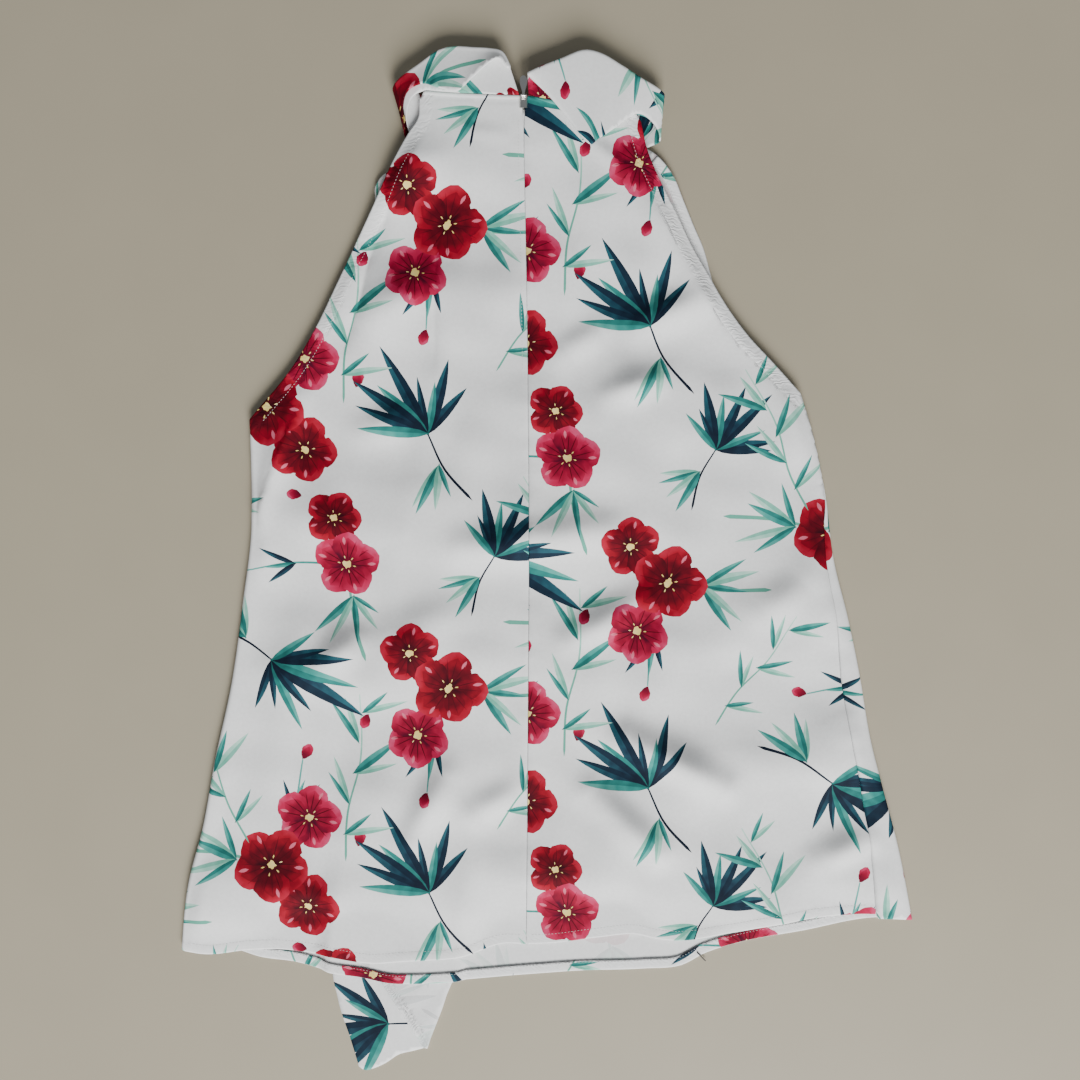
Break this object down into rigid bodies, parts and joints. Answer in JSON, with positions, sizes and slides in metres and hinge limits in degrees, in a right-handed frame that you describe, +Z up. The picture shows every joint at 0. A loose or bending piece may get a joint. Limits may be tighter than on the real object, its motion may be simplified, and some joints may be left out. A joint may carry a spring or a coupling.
{
  "type": "sleeveless top",
  "caption": "Sleeveless halter-neck top in printed cloth, laid flat with its back up: folded neckband, long neck tie, centre-back zip and flared body.",
  "frame": {"origin": "centre of the laid garment's outline, on the surface it lies on", "axes": "+Z up from the surface, towards the viewer, with the garment's back up; +Y from the hem to the neck; +X across, to the right with the neck at the top"},
  "size_m": [0.5131, 0.7078, 0.0146],
  "materials": {
    "printed_crepe": "matt crepe",
    "crepe_inside": "matt crepe, reverse side",
    "zip_tape": "woven tape",
    "zip_metal": "satin"
  },
  "bodies": {
    "garment": {"front": "printed_crepe", "back_left": "printed_crepe", "back_right": "printed_crepe", "neckband": "printed_crepe", "neck_tie": "printed_crepe", "front_hem": "crepe_inside", "zip_tape": "zip_tape", "zip_slider": "zip_metal"},
    "pull": {"zip_pull": "zip_metal"}
  },
  "joints": [
    {"name": "pull_swing", "type": "hinge", "parent": "garment", "child": "pull", "pos_m": [-0.0159, 0.32, 0.0132], "axis": [1, 0, 0], "range_deg": [0, 170]}
  ]
}
